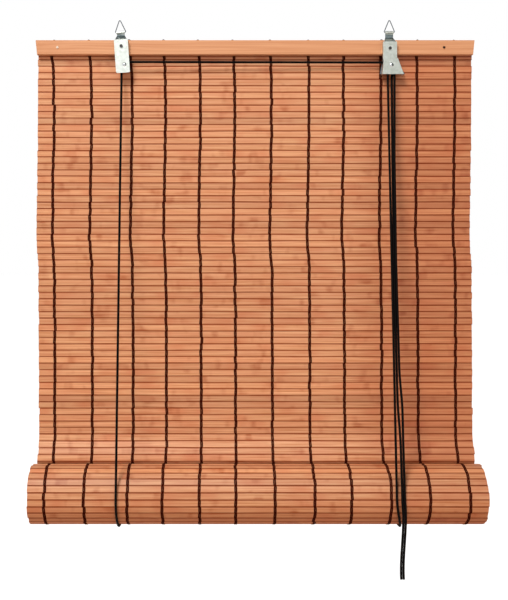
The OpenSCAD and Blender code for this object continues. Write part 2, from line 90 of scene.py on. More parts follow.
# %% [markdown]
# The photograph was taken square on to the mat, with no lean in its verticals, from about 1.2 m. The roll bulges
# out more to the right than to the left and more below than above, so the lens looked at a point left of and above
# the picture's middle: that is a lens shift, not a turned camera. One picture height stands for 36 mm of sensor,
# so pixels turn into lens numbers. The pixel of the rail's upper edge, at its middle, fixes the place.

# %% Camera
def link(made):
    """Puts an object in the scene."""
    bpy.context.scene.collection.objects.link(made)
    return made


FOCAL_PX, CENTRE_PX, SIZE_PX = 880.0, (217.0, 250.0), (508, 600)
RAIL_PX, MM_PER_PX, SENSOR = (254.8, 41.6), 1.386, 36
camera = link(bpy.data.objects.new("camera", bpy.data.cameras.new("camera")))
bpy.context.scene.camera = camera
camera.data.sensor_width = SENSOR
camera.data.lens = FOCAL_PX / SIZE_PX[1] * SENSOR
camera.data.shift_x = (SIZE_PX[0] / 2 - CENTRE_PX[0]) / SIZE_PX[1]
camera.data.shift_y = -(SIZE_PX[1] / 2 - CENTRE_PX[1]) / SIZE_PX[1]
camera.location = np.array([(CENTRE_PX[0] - RAIL_PX[0]) * MM_PER_PX, MAT_Y / MM - FOCAL_PX * MM_PER_PX,
                            RAIL_TOP / MM - (CENTRE_PX[1] - RAIL_PX[1]) * MM_PER_PX]) * MM
camera.rotation_euler = (np.pi / 2, 0, 0)
print("camera at", np.round(np.array(camera.location), 3), "lens", round(camera.data.lens, 1), "mm")

# %% [markdown]
# A material is a small graph of nodes. One function adds a node, sets its properties, and gives each named input
# either a value or the socket that feeds it. Colours are written as the hex values that a paint chart would give,
# and are turned to the linear numbers that light is added up in.

# %% Nodes and colours
def linear(colour):
    """sRGB hex to linear: a channel is divided by 12.92 where dark, else shifted by 0.055 and raised to 2.4."""
    c = np.array([int(colour[i:i + 2], 16) for i in (1, 3, 5)]) / 255
    return (*np.where(c <= 0.04045, c / 12.92, ((c + 0.055) / 1.055) ** 2.4), 1.0)


def new_material(name):
    """An empty node material and its tree."""
    material = bpy.data.materials.new(name)
    material.use_nodes = True
    material.node_tree.nodes.clear()
    return material, material.node_tree


def add(tree, kind, inputs=None, **settings):
    """Adds one node: settings are its properties; inputs maps an input to a value or to the socket that feeds it."""
    made = tree.nodes.new(kind)
    for key, value in settings.items():
        setattr(made, key, value)
    for key, value in (inputs or {}).items():
        if isinstance(value, bpy.types.NodeSocket):
            tree.links.new(value, made.inputs[key])
        else:
            made.inputs[key].default_value = value
    return made


print("a mid grey is", np.round(linear("#808080")[:3], 3))

# %% [markdown]
# Most graphs here are made of the same few steps, so each of these gets a short name: a sum or product, an even
# ramp, a mix of two colours, noise, a relief, and the surface at the end. Places come from the mesh's own UV map or
# from the object's own coordinates.

# %% Steps of a material
def calc(tree, operation, *values):
    """One math step on values and sockets, in the order that the math node takes them."""
    return add(tree, "ShaderNodeMath", dict(enumerate(values)), operation=operation).outputs[0]


def ramp(tree, value, low=0.0, high=1.0, to_low=0.0, to_high=1.0, **settings):
    """Maps low..high evenly to to_low..to_high, and holds both ends."""
    ends = {"From Min": low, "From Max": high, "To Min": to_low, "To Max": to_high}
    return add(tree, "ShaderNodeMapRange", {"Value": value, **ends}, **settings).outputs[0]


def mix(tree, share, first, second, blend_type="MIX"):
    """Lays a share of the second colour over the first; a colour is a hex value or a socket."""
    first, second = (linear(c) if isinstance(c, str) else c for c in (first, second))
    inputs = {0: share, 6: first, 7: second}
    return add(tree, "ShaderNodeMix", inputs, data_type="RGBA", blend_type=blend_type).outputs[2]


def noise(tree, vector, scale, detail, roughness=0.5):
    """Soft noise of a scale, with finer noise of each half size added for each step of detail."""
    inputs = {"Vector": vector, "Scale": scale, "Detail": detail, "Roughness": roughness}
    return add(tree, "ShaderNodeTexNoise", inputs).outputs


def relief(tree, height, strength, depth):
    """The normal of a surface whose height stands up to a depth out of the smooth one."""
    return add(tree, "ShaderNodeBump", {"Strength": strength, "Distance": depth, "Height": height}).outputs[0]


def surface(tree, inputs):
    """A principled surface with the given inputs, joined to the material's output."""
    made = add(tree, "ShaderNodeBsdfPrincipled", inputs)
    add(tree, "ShaderNodeOutputMaterial", {"Surface": made.outputs[0]})


def mesh_uv(tree):
    """The two numbers of the UV map: for tubes the share of a turn and the length, for slats X and the way down."""
    uv = add(tree, "ShaderNodeUVMap", uv_map="along").outputs[0]
    return add(tree, "ShaderNodeSeparateXYZ", {0: uv}).outputs[:2]


def attribute(tree, name):
    """A number that the mesh carries for each of its points."""
    return add(tree, "ShaderNodeAttribute", attribute_name=name).outputs["Fac"]


def object_place(tree):
    """The object's own coordinates, in metres."""
    return add(tree, "ShaderNodeTexCoord").outputs["Object"]


print("material steps are ready")

# %% [markdown]
# The background is plain white paper. Only what the eye sees of it, directly or mirrored in metal, is white at full
# strength; the light that it gives the blind is softer, so that the bamboo keeps its colour. The floor is matt and
# pale and keeps the shadow; a little of its own light, for the camera alone, brings it up to the paper's white.

# %% World and floor
def sheet(name, corners, material):
    """One flat quad."""
    mesh = bpy.data.meshes.new(name)
    mesh.from_pydata(corners, [], [(0, 1, 2, 3)])
    mesh.materials.append(material)
    return link(bpy.data.objects.new(name, mesh))


PAPER_LIGHT, FLOOR_GLOW = 0.31, 0.7
FLOOR_Z, FLOOR_HALF = -1.2, 30
world = bpy.data.worlds.new("white_paper")
world.use_nodes = True
bpy.context.scene.world = world
bpy.context.scene.view_settings.view_transform = "Standard"
tree = world.node_tree
tree.nodes.clear()
rays = add(tree, "ShaderNodeLightPath").outputs
seen = calc(tree, "MAXIMUM", rays["Is Camera Ray"], rays["Is Glossy Ray"])
seen = calc(tree, "MAXIMUM", seen, rays["Is Transmission Ray"])
strength = ramp(tree, seen, to_low=PAPER_LIGHT)
paper = add(tree, "ShaderNodeBackground", {"Color": linear("#FFFFFF"), "Strength": strength})
add(tree, "ShaderNodeOutputWorld", {"Surface": paper.outputs[0]})

matt_white, tree = new_material("matt_white_floor")
rays = add(tree, "ShaderNodeLightPath").outputs
glow = calc(tree, "MULTIPLY", rays["Is Camera Ray"], FLOOR_GLOW)
surface(tree, {"Base Color": linear("#F4F4F2"), "Roughness": 0.9, "Emission Color": linear("#FFFFFF"),
               "Emission Strength": glow})
floor = sheet("floor", [(x * FLOOR_HALF, y * FLOOR_HALF, FLOOR_Z) for x, y in [(-1, -1), (1, -1), (1, 1), (-1, 1)]],
              matt_white)
print("floor at", FLOOR_Z, "m")

# %% [markdown]
# The cords throw a soft shadow to their right, the rail throws one on the first slats, and the roll's underside is
# the darkest place, so the main light is a soft box high up, in front and to the left. It stands well back, because
# the mat is as bright at its foot as at the rail. A weaker one on the right keeps the shadows open.

# %% Lights
LAMPS = [("soft_box_left", (-1.1, -2.2, 2.3), (0, 0, -0.3), 1.0, 101),
         ("soft_box_right", (1.5, -2.0, 0.0), (0, 0, -0.4), 1.6, 11)]
for name, place, aim, size, power in LAMPS:
    lamp = bpy.data.lights.new(name, "AREA")
    lamp.size, lamp.energy = size, power
    box = link(bpy.data.objects.new(name, lamp))
    box.location = place
    box.rotation_euler = (Vector(aim) - Vector(place)).to_track_quat("-Z", "Y").to_euler()
    print(name, power, "W")

# %% [markdown]
# Bright metal shows its surroundings. In a studio it would be white on white, so cards are set where the metal
# looks: a dark one overhead, which the sloping shoulders mirror, a pale grey one in front to the right, which greys
# the right bracket, and a dark one at the right side, which draws dark rims. Only mirror rays see these three. A
# brown card under the blind, which only matt surfaces see, keeps the floor's white off the undersides.

# %% Cards
CARDS = [
    ("card_above", "#1E2326", [(-1.2, -0.6, 0.8), (1.2, -0.6, 0.8), (1.2, 1.6, 0.8), (-1.2, 1.6, 0.8)]),
    ("card_right", "#D8DED6", [(0.35, -1.9, -0.4), (0.9, -1.35, -0.4), (0.9, -1.35, 0.9), (0.35, -1.9, 0.9)]),
    ("card_side", "#1E2326", [(0.9, -1.3, -0.8), (1.3, 0.8, -0.8), (1.3, 0.8, 0.9), (0.9, -1.3, 0.9)]),
    ("card_below", "#C48A5C", [(-0.9, -1.0, -0.98), (0.9, -1.0, -0.98), (0.9, 0.6, -0.98), (-0.9, 0.6, -0.98)])]
for name, colour, corners in CARDS:
    matt_card, tree = new_material("matt_" + name)
    surface(tree, {"Base Color": linear(colour), "Roughness": 1.0, "Specular IOR Level": 0.0})
    card = sheet(name, corners, matt_card)
    card.visible_camera = card.visible_shadow = card.visible_transmission = False
    card.visible_diffuse, card.visible_glossy = name == "card_below", name != "card_below"
    print(name, colour)

# %% [markdown]
# Slats, threads and cords are all one kind of shape: a closed outline carried along a line. So one function joins
# rings of points into skins, closes both ends, and hands the result to the mesh in whole arrays. A second one lays
# rings round a line, as a drawn wire has them: the line's direction and one fixed direction give the two axes of
# each ring.

# %% Skins and tubes
SHARP = np.radians(50)


def skin(name, rings, uv, material, body=None, slot=None, **values):
    """Closed skins from rings[piece, station, point, xyz]: quads join each ring to the next, one face closes each end.

    The signed volume of the cones from the middle to each quad says which way the quads face, and turns them out
    if needed. uv has the same first three axes; values are point attributes, one number for each ring point.
    """
    pieces, stations, points = rings.shape[:3]
    index = np.arange(rings[..., 0].size).reshape(pieces, stations, points)
    near, far = index[:, :-1], index[:, 1:]
    quads = np.stack([near, np.roll(near, -1, 2), np.roll(far, -1, 2), far], -1).reshape(-1, 4)
    ends = np.concatenate([index[:, 0, ::-1], index[:, -1]])
    flat = rings.reshape(-1, 3)
    centre = np.repeat(rings.mean((1, 2)), quads.shape[0] // pieces, 0)
    a, b, c, d = (flat[quads[:, i]] - centre for i in range(4))
    if (np.einsum("ij,ij->", a, np.cross(b, c)) + np.einsum("ij,ij->", a, np.cross(c, d))) < 0:
        quads, ends = quads[:, ::-1], ends[:, ::-1]
    mesh = bpy.data.meshes.new(name)
    mesh.from_pydata(flat.tolist(), [], quads.tolist() + ends.tolist())
    corner = np.empty(len(mesh.loops), np.int32)
    mesh.loops.foreach_get("vertex_index", corner)
    mesh.uv_layers.new(name="along").data.foreach_set("uv", uv.reshape(-1, 2)[corner].astype(np.float32).ravel())
    for key, value in values.items():
        spread = np.broadcast_to(value, rings.shape[:3]).astype(np.float32).ravel()
        mesh.attributes.new(key, "FLOAT", "POINT").data.foreach_set("value", spread)
    mesh.materials.append(material)
    mesh.shade_smooth()
    mesh.set_sharp_from_angle(angle=SHARP)
    made = link(bpy.data.objects.new(name, mesh))
    if body:
        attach(made, body)
    return made


def unit(v):
    """Vectors divided by their own length."""
    return v / np.linalg.norm(v, axis=-1, keepdims=True)


def tube(lines, wide, thick, sides, fixed):
    """Rings round lines[piece, station, xyz]: an oval of half axes wide and thick, wide lying across fixed.

    side = fixed x tangent, up = tangent x side, ring = line + wide cos(a) side + thick sin(a) up. Also gives the
    uv, which is the angle's share of a turn and the length along the line.
    """
    tangent = unit(np.gradient(lines, axis=1))
    side = unit(np.cross(np.broadcast_to(fixed, tangent.shape), tangent))
    up = np.cross(tangent, side)
    a = np.arange(sides) / sides * 2 * np.pi
    oval = wide * np.cos(a)[:, None] * side[:, :, None] + thick * np.sin(a)[:, None] * up[:, :, None]
    rings = lines[:, :, None] + oval
    step = np.linalg.norm(np.diff(lines, axis=1, prepend=lines[:, :1]), axis=-1)
    uv = np.stack(np.broadcast_arrays(a / (2 * np.pi), np.cumsum(step, 1)[:, :, None]), -1)
    return rings, uv


def dense(points, step):
    """A line of straight stretches through the points, with a station about every step."""
    points = np.asarray(points, float)
    lengths = np.linalg.norm(np.diff(points, axis=0), axis=1)
    walked = np.concatenate([[0], np.cumsum(lengths)])
    stations = np.unique(np.concatenate([np.linspace(0, walked[-1], int(walked[-1] / step) + 2), walked]))
    return np.stack([np.interp(stations, walked, points[:, i]) for i in range(3)], 1)


print("skin and tube are ready")

# %% [markdown]
# The cords are black braided polyester, 3.2 mm thick. A braid shows as small slanted facets: two sets of strands
# cross over each other, left and right handed. Both sets are waves along the cord's own length and girth; the higher
# of the two is on top. The real strands are 0.4 mm wide, far below a pixel, so the pattern is drawn at twice that to
# catch some light.

# %% Braided cord
CORD_R, CORD_SIDES = 1.6 * MM, 12
STRANDS, LAY = 6, 7.5 * MM
cord_black, tree = new_material("braided_black_polyester")
u, v = mesh_uv(tree)
strand_waves = []
for hand in (1, -1):
    turn = calc(tree, "MULTIPLY", v, hand * 2 * np.pi * STRANDS / LAY)
    phase = calc(tree, "MULTIPLY_ADD", u, 2 * np.pi * STRANDS, turn)
    strand_waves.append(calc(tree, "SINE", phase))
height = ramp(tree, calc(tree, "MAXIMUM", *strand_waves), low=-1.0)
surface(tree, {"Base Color": mix(tree, height, "#030202", "#0E0B0A"), "Roughness": 0.6, "Specular IOR Level": 0.06,
               "Normal": relief(tree, height, strength=0.6, depth=0.2 * MM)})
print("braid of", 2 * STRANDS, "strands, lay", LAY / MM, "mm")

# %% [markdown]
# Each lift cord is tied in the back of the rail, runs down behind the mat, slings under the roll and goes up in front
# of it to the gear on its bracket. The roll's spiral gives the sling its radius, and the front run leaves the roll
# where it is a tangent.

# %% Ways round the roll and the wheels
AIR_UNDER, AIR_FRONT = 0.2 * MM, 1.1 * MM
CORD_EXIT = -42 * MM
ACROSS, DEPTHWISE = (1, 0, 0), (0, 1, 0)


def wound_r(angle):
    """Radius of the spiral's middle line: MID_R less a layer for each turn. Angles run from the back down and round."""
    return MID_R - LAYER * angle / (2 * np.pi)


def roll_point(x, angle, radius):
    """A point at an angle and radius about the roll's axis: out = (cos, -sin) in Y and Z."""
    x, angle, radius = np.broadcast_arrays(x, angle, radius)
    return np.stack([x, ROLL_Y + radius * np.cos(angle), ROLL_Z - radius * np.sin(angle)], -1)


def sling_r(angle):
    """The cord's middle on the roll: a slat's half, some air, and the cord's half above the spiral.

    The air is least under the roll, where its weight lies on the cord, and grows in front, where the cord leaves it.
    """
    air = AIR_UNDER + (AIR_FRONT - AIR_UNDER) * np.clip(angle / (np.pi / 2) - 1, 0, 1)
    return wound_r(angle) + SLAT_T / 2 + air + CORD_R


def touch(y):
    """Angle where a cord from depth y meets the roll: the way to the cord's top, turned by the tangent's arc cosine."""
    up = np.array([y - ROLL_Y, CORD_EXIT - ROLL_Z])
    return 2 * np.pi - np.arctan2(up[1], up[0]) - np.arccos(sling_r(np.pi) / np.linalg.norm(up))


def wrap(centre, y, radius, start, end, stations):
    """An arc in the plane of X and Z about a wheel's centre, between two angles in degrees."""
    a = np.radians(np.linspace(start, end, stations))
    return np.stack([centre[0] + radius * np.cos(a), np.full(stations, y), centre[1] + radius * np.sin(a)], 1)


def lay_cord(name, line, fixed, node, body=None):
    """One cord piece along a line, in place of its CAD node."""
    rings, uv = tube(line[None], CORD_R, CORD_R, CORD_SIDES, fixed)
    made = skin(name, rings, uv, cord_black, body, "cord")
    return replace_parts(made, node)


print("the slings' radius is", np.round(sling_r(np.array([0, np.pi])) / MM, 1), "mm behind and in front")

# %% [markdown]
# The sling lies on the roll and moves with it. The front and back runs are straight, and get shorter as the roll
# rises. On its way under the roll the sling shifts from where the front run
# meets the roll to where the back run leaves it.

# %% Lift cords
pulley, guide = middle("left_pulley"), middle("guide_roller")
PULLEY_R, GUIDE_R, GROOVE = 4.2 * MM, 4.6 * MM, 2.2 * MM
KNOT_Y, KNOT_Z = -4 * MM, 7.4 * MM
lift_x = {"left": pulley[0] - PULLEY_R, "right": guide[0] - GUIDE_R}
lift_y = {"left": pulley[1], "right": guide[1] - GROOVE}
MEET_SHIFT = {"left": 0.0, "right": -1.6 * MM}
BACK_SHIFT = {"left": 1 * MM, "right": 8.5 * MM}
SLING_STATIONS, RUN_STEP = 40, 20 * MM
for hand in ("left", "right"):
    x, x_meet, x_back = lift_x[hand], lift_x[hand] + MEET_SHIFT[hand], lift_x[hand] + BACK_SHIFT[hand]
    angles = np.linspace(touch(lift_y[hand]), 0, SLING_STATIONS)
    over = np.clip((angles[0] - angles) / (np.pi / 2), 0, 1)
    sling = roll_point(x_meet + (x_back - x_meet) * over ** 2 * (3 - 2 * over), angles, sling_r(angles))
    lay_cord(f"{hand}_sling", sling, ACROSS, f"{hand}_sling_cord", "roll")
    front_line = dense([[x, lift_y[hand], CORD_EXIT], sling[0]], RUN_STEP)
    front = lay_cord(f"{hand}_front_run", front_line, ACROSS, f"{hand}_front_cord", "head_rail")
    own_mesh(front)
    back_line = dense([sling[-1], [x_back, KNOT_Y, RAIL_FOOT], [x_back, KNOT_Y, KNOT_Z]], RUN_STEP)
    back = lay_cord(f"{hand}_back_run", back_line, ACROSS, f"{hand}_back_cord", "head_rail")
    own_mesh(back)
    print(hand, "lift cord at x", round(x / MM, 1), "mm in front and", round(x_back / MM, 1), "mm behind")

# %% [markdown]
# Above the mat the left cord turns over its pulley, crosses under the rail and enters the lock; the right cord goes
# straight up into it. Both turn over the guide roller, one in each groove, and leave downwards side by side as the
# pull cords.

# %% Cords in the gear
PULL_X, PULL_PART = guide[0] + GUIDE_R, -2.9 * MM
GEAR_STEP, QUARTER_TURN, HALF_TURN = 8 * MM, 10, 20
cross_line = np.concatenate([
    [[lift_x["left"], pulley[1], CORD_EXIT]],
    wrap(pulley[[0, 2]], pulley[1], PULLEY_R, 180, 90, QUARTER_TURN),
    wrap(guide[[0, 2]], guide[1] + GROOVE, GUIDE_R, 90, 0, QUARTER_TURN),
    [[PULL_X + PULL_PART, guide[1] + GROOVE, CORD_EXIT]],
])
lay_cord("cross_run", dense(cross_line, GEAR_STEP), DEPTHWISE, "cross_cord", "head_rail")
lock_line = np.concatenate([
    [[lift_x["right"], guide[1] - GROOVE, CORD_EXIT]],
    wrap(guide[[0, 2]], guide[1] - GROOVE, GUIDE_R, 180, 0, HALF_TURN),
    [[PULL_X, guide[1] - GROOVE, CORD_EXIT]],
])
lay_cord("lock_run", dense(lock_line, GEAR_STEP), DEPTHWISE, "lock_cord", "head_rail")
print("cross run", round(np.linalg.norm(np.diff(cross_line, axis=0), axis=1).sum() / MM), "mm")

# %% [markdown]
# The pull cords hang free. They leave the lock side by side, close up on their way, part again where the right one
# still has a bow from being bundled, lie on the roll's front and drop 100 mm below its axis to plain cut ends. Each is
# one tube. The sideways shifts are
# chosen at a few shares of the way, and a short running mean rounds the bends between them.

# %% Pull cords
WAY = np.array([0, 0.2, 0.45, 0.72, 0.79, 0.87, 1])
HANG = {"left": np.array([-2.9, -5, -6.6, -6.7, -6.6, -4.1, -3.75]) * MM,
        "right": np.array([0, -2.8, -4.2, -3.5, -0.7, -0.8, -0.5]) * MM}
SWAY = np.array([0, 0.9, -1.1, -1.5]) * MM
TAIL = 100 * MM
HANG_STATIONS, TAIL_STATIONS, ROUNDING = 121, 26, 9


def pull_line(hand, y):
    """Down to the roll with the chosen shifts, rounded by a short mean, then a tail whose sway is a cubic."""
    way = np.linspace(0, 1, HANG_STATIONS)
    window = np.hanning(ROUNDING) / np.hanning(ROUNDING).sum()
    shift = np.convolve(np.pad(np.interp(way, WAY, HANG[hand]), ROUNDING // 2, "edge"), window, "valid")
    shift = shift + (HANG[hand][0] - shift[0]) * (1 - way)
    top, foot = np.array([PULL_X, y, CORD_EXIT]), roll_point(PULL_X, touch(y), sling_r(touch(y)))
    run = top + way[:, None] * (foot - top) + np.outer(shift, ACROSS)
    drop = np.linspace(0, TAIL, TAIL_STATIONS)
    sway = np.polyval(np.polyfit(np.arange(4) * TAIL / 3, SWAY, 3), drop)
    front = roll_point(run[-1, 0], np.pi, sling_r(np.pi))
    return np.concatenate([run, front + np.stack([sway, np.zeros(TAIL_STATIONS), -drop], 1)])


for hand, y in [("left", guide[1] + GROOVE), ("right", guide[1] - GROOVE)]:
    name, line = f"pull_cord_{hand}", pull_line(hand, y)
    made = lay_cord(name + "_braid", line, ACROSS, name)
    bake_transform(made)

# %% [markdown]
# A slat is a strip of bamboo about 9 mm wide and 2 mm thick, planed flat and eased along its edges. Its section is a
# rounded rectangle. No two slats lie quite alike: the seam between two of them waves by a fraction of a millimetre,
# each slat bows a little, and the weaver has pushed the rows sideways by a millimetre or two. The seams are drawn
# first, and each slat then fills the space between two seams, so that neighbours meet and never overlap.

# %% Slat section and seams
rng = np.random.default_rng(7)
PUSHED_AT = [0.02, 0.12, 0.20, 0.262, 0.30, 0.36, 0.56]
PUSHED = np.array([0, -0.3, -1.6, -2.6, 0.2, 0.8, 1.4]) * MM
BEATEN, BEATEN_FROM, BEATEN_TO = 2.4 * MM, 1.5, 16


def slat_section(corner=0.3 * MM, stain=1.5 * MM, steps=4):
    """Rounded rectangle: a quarter circle at each corner, and one more point on the face where the edge's darkened band
    ends.

    Gives each point's depth, its distance in from the nearer long edge, that edge's sign, and its share of the band
    that is darkened as dye and painted shade.
    """
    a = np.linspace(0, np.pi / 2, steps)
    out, down = SLAT_T / 2 - corner + corner * np.cos(a), corner - corner * np.sin(a)
    out, down = np.append(SLAT_T / 2, out), np.append(stain, down)
    depth = np.concatenate([out, -out[::-1], -out, out[::-1]])
    inset = np.concatenate([down, down[::-1], down, down[::-1]])
    return depth, inset, np.repeat([1, 1, -1, -1], steps + 1), 1 - inset / stain


def waves(rows, x, height):
    """Slow seeded waves along X, one row each: two sines of 150 to 600 mm, of random phase and share."""
    total = np.zeros((rows, x.size))
    for _ in range(2):
        length, phase = rng.uniform(0.15, 0.6, (rows, 1)), rng.uniform(0, 2 * np.pi, (rows, 1))
        share = rng.normal(0, 0.5, (rows, 1))
        total += height * share * np.sin(2 * np.pi * x / length + phase)
    return total


def row_shift(z):
    """Sideways push of the rows at a height: none at the top, then to the left, and to the right in the lower half."""
    return np.interp(-z, PUSHED_AT, PUSHED)


def seam_height(row):
    """Height of a seam: even rows, but the first ones are beaten closer; the rise fades in, and out over some rows."""
    return MAT_TOP - row * PITCH + BEATEN * (1 - np.exp(-row / BEATEN_FROM)) * np.exp(-row / BEATEN_TO)


depth, inset, edge, stain = slat_section()
print("first seams at", np.round(seam_height(np.arange(4)) / MM, 1), "mm")

# %% [markdown]
# Just above the roll the mat doesn't hang in the rail's plane: the sling pulls the roll back, the last slats lean out
# over its back and then lie against it. That leaves the dark crease along the roll's top. These lead slats move with
# the roll.

# %% The mat's line
LEAD_ROW, LEAD_FOOT = 61, ROLL_Z - 7 * MM
LEAD_TOP = MAT_TOP - LEAD_ROW * PITCH
LEAN, LEAN_LENGTH, BACK_AIR, FINE = 12 * MM, 36 * MM, 1.9 * MM, 400


def mat_line(z):
    """Depth of the mat's middle: the rail's plane, eased forward near the foot, but kept off the roll's round back.

    The ease is 3t^2 - 2t^3; the roll's back is a circle about its axis, two slat halves and two threads out.
    """
    t = np.clip((LEAD_TOP - z) / LEAN_LENGTH, 0, 1)
    eased = MAT_Y - LEAN * t * t * (3 - 2 * t)
    reach = MID_R + SLAT_T + BACK_AIR
    round_back = ROLL_Y + np.sqrt(np.maximum(reach ** 2 - (z - ROLL_Z) ** 2, 0))
    return np.minimum(MAT_Y, np.maximum(eased, round_back))


fine_z = np.linspace(LEAD_TOP, LEAD_FOOT, FINE)
walked = np.concatenate([[0], np.cumsum(np.hypot(np.diff(fine_z), np.diff(mat_line(fine_z))))])
LEAD_ROWS = int(walked[-1] / PITCH)
ROWS = LEAD_ROW + LEAD_ROWS


def row_height(row):
    """Height at a row: the seam rule above the lead, and equal lengths along the curved line in it."""
    on_lead = np.interp((row - LEAD_ROW) / LEAD_ROWS * walked[-1], walked, fine_z)
    return np.where(row < LEAD_ROW, seam_height(row), on_lead)


print(ROWS, "rows,", LEAD_ROWS, "of them on the lead, which is", round(walked[-1] / MM, 1), "mm long")

# %% [markdown]
# All slats above the roll are made at once, as one array of rings. Each slat also carries its own tone and a seed for
# its grain; the second one that shows under the rail gets the darkest tone, as painted shade under the rail.

# %% Hanging slats and lead
STATIONS = 31
SEAM_WAVE, BOW_WAVE, ROW_PUSH = 0.22 * MM, 0.1 * MM, 0.35 * MM
SECOND_SEEN, PAINTED_SHADE_TONE = 3, -2.0
x = np.linspace(-HALF_W, HALF_W, STATIONS)
seam = row_height(np.arange(ROWS + 1))[:, None] + waves(ROWS + 1, x, SEAM_WAVE)
seam[0], seam[-1] = MAT_TOP, LEAD_FOOT
row_z = (seam[:-1, 0] + seam[1:, 0]) / 2
shift = row_shift(row_z) + rng.normal(0, ROW_PUSH, ROWS)
bow = waves(ROWS, x, BOW_WAVE) * (row_z > LEAD_TOP)[:, None]
rings = np.empty((ROWS, STATIONS, depth.size, 3))
rings[..., 0] = x[None, :, None] + shift[:, None, None]
rings[..., 2] = np.where(edge > 0, seam[:-1, :, None] - inset, seam[1:, :, None] + inset)
rings[..., 1] = mat_line(rings[..., 2]) + depth + bow[:, :, None]
uv = np.stack(np.broadcast_arrays(rings[..., 0], MAT_TOP - rings[..., 2]), -1)
tone, seed = rng.normal(0, 1, ROWS)[:, None, None], rng.uniform(0, 1, ROWS)[:, None, None]
# Painted shade: the second slat that shows under the rail takes the darkest tone.
tone[SECOND_SEEN] = PAINTED_SHADE_TONE
bamboo, bamboo_tree = new_material("split_bamboo")
# How much painted shade each part takes: full on the hanging mat, half on the roll.
PAINTED_SHADE_HANGING, PAINTED_SHADE_ROLLED = 1.0, 0.5
for name, part, body in [("hanging_slats", slice(0, LEAD_ROW), "head_rail"),
                         ("lead_slats", slice(LEAD_ROW, ROWS), "roll")]:
    slats = skin(name, rings[part], uv[part], bamboo, body, "bamboo_slat", tone=tone[part], seed=seed[part],
                 stain=stain, aged=PAINTED_SHADE_HANGING)
    print(name, rings[part].shape[0], "slats,", len(slats.data.polygons), "faces")
    if body == "head_rail":
        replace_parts(slats, "hanging_mat")
        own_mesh(slats)

# %% [markdown]
# On the roll the slats go on along the spiral. A slat stays straight, so each one is a chord between two points of the
# spiral that lie a pitch apart along it. The length wound on by an angle is that of a spiral whose radius shrinks
# evenly, which can be solved for the angle. The same section is then laid on each chord's own two directions, along
# it and outwards.

# %% Rolled slats
ROLL_STATIONS, ROLL_SHIFT, ROLL_PUSH = 11, 0.8 * MM, 0.5 * MM


def wound_angle(length):
    """Angle after a length of mat: length = MID_R a - LAYER a^2 / (4 pi), solved for a."""
    return 2 * np.pi / LAYER * (MID_R - np.sqrt(MID_R ** 2 - LAYER * length / np.pi))


turned = wound_angle(np.arange(ROLLED + 1) * PITCH)
edges = roll_point(0.0, turned, wound_r(turned))
chord = unit(np.diff(edges, axis=0))
chord_out = np.stack([np.zeros(ROLLED), -chord[:, 2], chord[:, 1]], 1)
chord_long = np.linalg.norm(np.diff(edges, axis=0), axis=1)
offset = np.where(edge > 0, inset, chord_long[:, None] - inset)
section = edges[:-1, None] + offset[..., None] * chord[:, None] + depth[:, None] * chord_out[:, None]
rings = np.repeat(section[:, None], ROLL_STATIONS, 1)
shift = ROLL_SHIFT + rng.normal(0, ROLL_PUSH, ROLLED)
rings[..., 0] = np.linspace(-HALF_W, HALF_W, ROLL_STATIONS)[None, :, None] + shift[:, None, None]
wound = (np.arange(ROLLED) * PITCH)[:, None] + offset
uv = np.stack(np.broadcast_arrays(rings[..., 0], wound[:, None]), -1)
tone, seed = rng.normal(0, 1, ROLLED)[:, None, None], rng.uniform(0, 1, ROLLED)[:, None, None]
rolled = skin("rolled_slats", rings, uv, bamboo, "roll", "bamboo_slat", tone=tone, seed=seed, stain=stain,
              aged=PAINTED_SHADE_ROLLED)
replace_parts(rolled, "rolled_mat")
print(ROLLED, "rolled slats over", round(turned[-1] / (2 * np.pi), 1), "turns")

# %% [markdown]
# Split bamboo is a bundle of straight fibres: the planed face shows fine streaks along the slat, a little paler or
# redder from slat to slat, and here and there a soft reddish patch where the cane had a joint. Fibre bundles are
# 0.3 mm wide; they are drawn 1.5 mm wide, because a pixel of the picture is 1.4 mm.

# %% Bamboo fibres
tree = bamboo_tree
FIBRE, FIBRE_RUN, SEED_APART = 1.5 * MM, 90 * MM, 57.0
u, v = mesh_uv(tree)
own = calc(tree, "MULTIPLY", attribute(tree, "seed"), SEED_APART)
spot = add(tree, "ShaderNodeCombineXYZ", {0: u, 1: v, 2: own}).outputs[0]


def slat_noise(long, high, apart, detail):
    """Noise on the slat's own coordinates, stretched to a size in X and Y; apart parts one slat from the next."""
    scaled = add(tree, "ShaderNodeVectorMath", {0: spot, 1: (1 / long, 1 / high, apart)}, operation="MULTIPLY")
    return noise(tree, scaled.outputs[0], 1.0, detail, 0.6)[0]


streak = slat_noise(FIBRE_RUN, FIBRE, apart=1.0, detail=3.0)
cloud = slat_noise(60 * MM, 9 * MM, apart=3.0, detail=2.0)
joint = slat_noise(30 * MM, 26 * MM, apart=0.012, detail=1.0)
blot = slat_noise(18 * MM, 70 * MM, apart=2.0, detail=1.0)
red = slat_noise(50 * MM, 60 * MM, apart=5.0, detail=1.0)
fibre = mix(tree, ramp(tree, streak, 0.3, 0.7), "#C77C4A", "#EDAF80")
blush = mix(tree, ramp(tree, cloud, 0.35, 0.7, to_high=0.5), fibre, "#D98B63")
ruddy = mix(tree, ramp(tree, red, 0.54, 0.72, to_high=0.45), blush, "#CC7145")
near = ramp(tree, joint, 0.5, 0.62)
spread = ramp(tree, blot, 0.5, 0.68, to_high=0.85)
frayed = ramp(tree, streak, 0.35, 0.6, to_low=1.0, to_high=0.45)
patch = calc(tree, "MULTIPLY", calc(tree, "MULTIPLY", near, spread), frayed)
jointed = mix(tree, patch, ruddy, "#B05A2B")
print("bamboo fibres drawn", FIBRE / MM, "mm wide")
